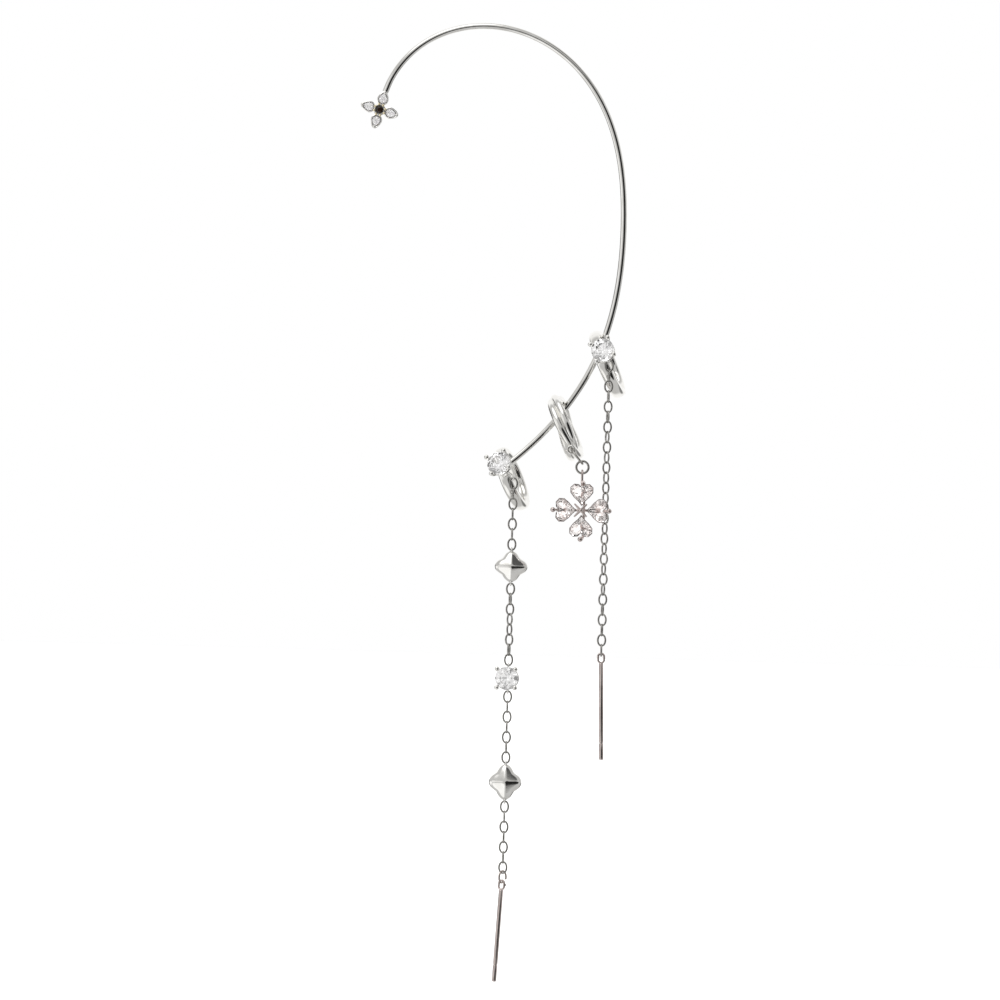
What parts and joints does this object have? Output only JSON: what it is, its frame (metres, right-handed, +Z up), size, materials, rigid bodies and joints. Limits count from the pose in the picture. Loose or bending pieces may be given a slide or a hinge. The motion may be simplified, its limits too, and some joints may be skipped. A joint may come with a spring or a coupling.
{
  "type": "ear cuff",
  "caption": "Long curled ear hook with small stone-set cuffs, a clover charm and fine chains that end in thin rods.",
  "frame": {"origin": "inside of the hook's crest, where the wire rests on top of the ear", "axes": "+X to the right as the jewel is seen from its front, +Y away from the viewer, +Z up along the hanging chains"},
  "size_m": [0.0349, 0.0129, 0.1225],
  "materials": {
    "silver": "polished rhodium-like plate, faint hairline scratches",
    "link_silver": "fine polished wire, slightly darker",
    "rose_silver": "polished plate with a faint warm cast",
    "clear_stone": "clear, sharply faceted",
    "heart_stone": "clear, faceted, a touch of warm tint",
    "dark_stone": "near-black, polished"
  },
  "bodies": {
    "root": {"chain_setting": "silver", "chain_stone": "clear_stone", "charm_frame": "rose_silver", "ear_hook": "silver", "flower_centre_stone": "dark_stone", "flower_stone_1": "clear_stone", "flower_stone_2": "clear_stone", "flower_stone_3": "clear_stone", "flower_stone_4": "clear_stone", "hanger_ring": "link_silver", "heart_stone_1": "heart_stone", "heart_stone_2": "heart_stone", "heart_stone_3": "heart_stone", "heart_stone_4": "heart_stone", "left_chain_1": "link_silver", "left_chain_2": "link_silver", "left_chain_3": "link_silver", "left_chain_4": "link_silver", "left_rod": "rose_silver", "lower_bead": "silver", "lower_cuff": "silver", "lower_cuff_stone": "clear_stone", "open_ring": "rose_silver", "right_chain": "link_silver", "right_rod": "rose_silver", "round_ring": "link_silver", "twisted_cuff": "silver", "upper_bead": "silver", "upper_cuff": "silver", "upper_cuff_stone": "clear_stone"}
  },
  "joints": []
}
